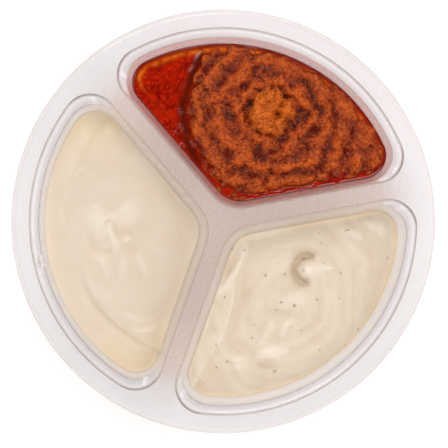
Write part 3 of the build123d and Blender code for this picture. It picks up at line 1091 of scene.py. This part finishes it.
def build_floor():
    """Pale floor: as the camera sees it, and through the sheet, it is white and keeps the shadow. It glows
    more further off, where less of the light falls."""
    deselect()
    bpy.ops.mesh.primitive_plane_add(size=6.0, location=(0, 0, 0))
    floor = bpy.context.object
    floor.name = "studio_floor"
    for vertex in floor.data.vertices:
        vertex.co.z -= 0.1 * MM
    n = new_material("studio_floor")
    path = n.add("LightPath").outputs
    seen = n.maths("MAXIMUM", path["Is Camera Ray"], path["Is Glossy Ray"])
    seen = n.maths("MAXIMUM", seen, path["Is Transmission Ray"])
    radius = n.add("VectorMath", {0: n.object_point()}, operation="LENGTH").outputs["Value"]
    lit = n.shader("BsdfDiffuse", Color=FLOOR_GREY)
    glow = n.shader("Emission", Color=FLOOR_GLOW, Strength=n.times(seen, n.spread(radius, 0.2, 1.2, 0.38, 0.70)))
    floor.data.materials.append(n.surface(n.add("AddShader", {0: lit, 1: glow}).outputs[0]))


def build_world(studio):
    """Light from all round as in a tent: most from the sides, and little from overhead, where the camera
    hangs. Behind the object it is plain white."""
    world = bpy.data.worlds.new("studio_sky")
    bpy.context.scene.world = world
    n = Nodes(world)
    height = n.add("SeparateXYZ", {0: n.add("TexCoord").outputs["Generated"]}).outputs["Z"]
    tent = n.times(n.spread(height, 0.25, 0.65, 1.0, studio.sky), n.spread(height, 0.72, 0.94, 1.0, 0.2))
    seen = n.maths("MAXIMUM", tent, n.add("LightPath").outputs["Is Camera Ray"])
    n.surface(n.shader("Background", Color=WHITE, Strength=seen), "OutputWorld")


def view_axes(studio):
    """The photograph's right and up in the tray's frame."""
    right = Vector((math.cos(studio.roll), math.sin(studio.roll), 0))
    return right, Vector((-right.y, right.x, 0))


def add_softbox(name, way, reach, height, width, power):
    """A square light, out from the tray's middle by reach and up by height, that looks at the middle."""
    data = bpy.data.lights.new(name, "AREA")
    data.shape = "RECTANGLE"
    data.size = data.size_y = width
    data.energy = power
    lamp = bpy.data.objects.new(name, data)
    lamp.location = reach * way.normalized() + Vector((0, 0, height))
    lamp.rotation_euler = (-lamp.location).to_track_quat("-Z", "Y").to_euler()
    bpy.context.scene.collection.objects.link(lamp)


def build_lights(studio):
    """A key light over the photograph's upper edge, and weaker ones over its right and its lower edge."""
    right, up = view_axes(studio)
    add_softbox("softbox_key", up - 0.3 * right, 0.43, 0.62, 0.36, studio.key_power)
    add_softbox("softbox_right", right, 0.50, 0.56, 0.36, studio.side_power)
    add_softbox("softbox_front", -up - 0.15 * right, 0.46, 0.60, 0.40, studio.end_power)


def build_camera(studio):
    """Straight above the tray, turned as the photograph is."""
    data = bpy.data.cameras.new("camera")
    data.sensor_fit = "HORIZONTAL"
    data.lens = data.sensor_width * studio.distance / studio.view_width
    data.clip_start = 0.05
    data.clip_end = 20
    camera = bpy.data.objects.new("camera", data)
    right, up = view_axes(studio)
    above = Vector((0, 0, TRAY_HEIGHT + studio.distance))
    camera.location = right * studio.centre_x + up * studio.centre_y + above
    camera.rotation_euler = (0, 0, studio.roll)
    bpy.context.scene.collection.objects.link(camera)
    bpy.context.scene.camera = camera


# Operators


class DIPTRAY_OT_tray(Operator):
    """Form the clear sheet"""

    bl_idname = "dip_tray.tray"
    bl_label = "Clear tray"

    def execute(self, context):
        build_tray()
        return {"FINISHED"}


class DIPTRAY_OT_plain(Operator):
    """Fill the plain dip's pot"""

    bl_idname = "dip_tray.plain"
    bl_label = "Plain dip"

    def execute(self, context):
        piece = build_dip("plain_dip_cream", PLAIN_POT, PLAIN_LEVEL, PLAIN_MIDDLE, CREAM_RINGS, plain_height)
        finish_piece(piece, plain_cream(), "plain_cream", "plain_dip")
        return {"FINISHED"}


class DIPTRAY_OT_flecked(Operator):
    """Fill the flecked dip's pot"""

    bl_idname = "dip_tray.flecked"
    bl_label = "Flecked dip"

    def execute(self, context):
        name = "flecked_dip_cream"
        piece = build_dip(name, FLECKED_POT, FLECKED_LEVEL, FLECKED_MIDDLE, CREAM_RINGS, flecked_height)
        finish_piece(piece, flecked_cream(), "flecked_cream", "flecked_dip")
        return {"FINISHED"}


class DIPTRAY_OT_paste(Operator):
    """Fill the paste's pot"""

    bl_idname = "dip_tray.paste"
    bl_label = "Chilli paste"

    def execute(self, context):
        piece = build_dip("chilli_paste_lumps", PASTE_POT, PASTE_LEVEL, PASTE_MIDDLE, PASTE_RINGS, paste_height)
        finish_piece(piece, chilli_paste(), "chilli_paste", "chilli_paste")
        return {"FINISHED"}


class DIPTRAY_OT_oil(Operator):
    """Pour the oil over the paste"""

    bl_idname = "dip_tray.oil"
    bl_label = "Chilli oil"

    def execute(self, context):
        name = "chilli_oil_pool"
        piece = build_dip(name, PASTE_POT, PASTE_LEVEL, PASTE_MIDDLE, OIL_RINGS, oil_height, OIL_GAP, OIL_FLOOR)
        finish_piece(piece, chilli_oil(), "chilli_oil", "chilli_oil")
        return {"FINISHED"}


class DIPTRAY_OT_droplet(Operator):
    """Leave the dried drop on the ledge"""

    bl_idname = "dip_tray.droplet"
    bl_label = "Drop on the ledge"

    def execute(self, context):
        build_droplet()
        return {"FINISHED"}


class DIPTRAY_OT_stage(Operator):
    """Set up the floor, the lights and the camera"""

    bl_idname = "dip_tray.stage"
    bl_label = "Studio"

    def execute(self, context):
        studio = settings().studio
        build_floor()
        build_world(studio)
        build_lights(studio)
        build_camera(studio)
        context.scene.view_settings.view_transform = "Standard"
        return {"FINISHED"}


class DIPTRAY_PT_panel(Panel):
    """Sizes, colours and the steps that build the tray"""

    bl_idname = "DIPTRAY_PT_panel"
    bl_label = "Dip tray"
    bl_space_type = "VIEW_3D"
    bl_region_type = "UI"
    bl_category = "Dip tray"

    def draw(self, context):
        for group in (settings().shape, settings().tray_look, settings().dips, settings().studio):
            column = self.layout.column(align=True)
            for key in group.__annotations__:
                column.prop(group, key)
        for step in STEPS:
            self.layout.operator(step.bl_idname)


STEPS = (
    DIPTRAY_OT_tray, DIPTRAY_OT_plain, DIPTRAY_OT_flecked, DIPTRAY_OT_paste,
    DIPTRAY_OT_oil, DIPTRAY_OT_droplet, DIPTRAY_OT_stage,
)
CLASSES = (TrayShape, TrayLook, DipLook, Studio, DipTraySettings, *STEPS, DIPTRAY_PT_panel)


def register():
    for item in CLASSES:
        bpy.utils.register_class(item)
    bpy.types.Scene.dip_tray = PointerProperty(type=DipTraySettings)


def unregister():
    del bpy.types.Scene.dip_tray
    for item in reversed(CLASSES):
        bpy.utils.unregister_class(item)


def main():
    register()
    bpy.ops.dip_tray.tray()
    bpy.ops.dip_tray.plain()
    bpy.ops.dip_tray.flecked()
    bpy.ops.dip_tray.paste()
    bpy.ops.dip_tray.oil()
    bpy.ops.dip_tray.droplet()
    bpy.ops.dip_tray.stage()


if __name__ == "__main__":
    main()
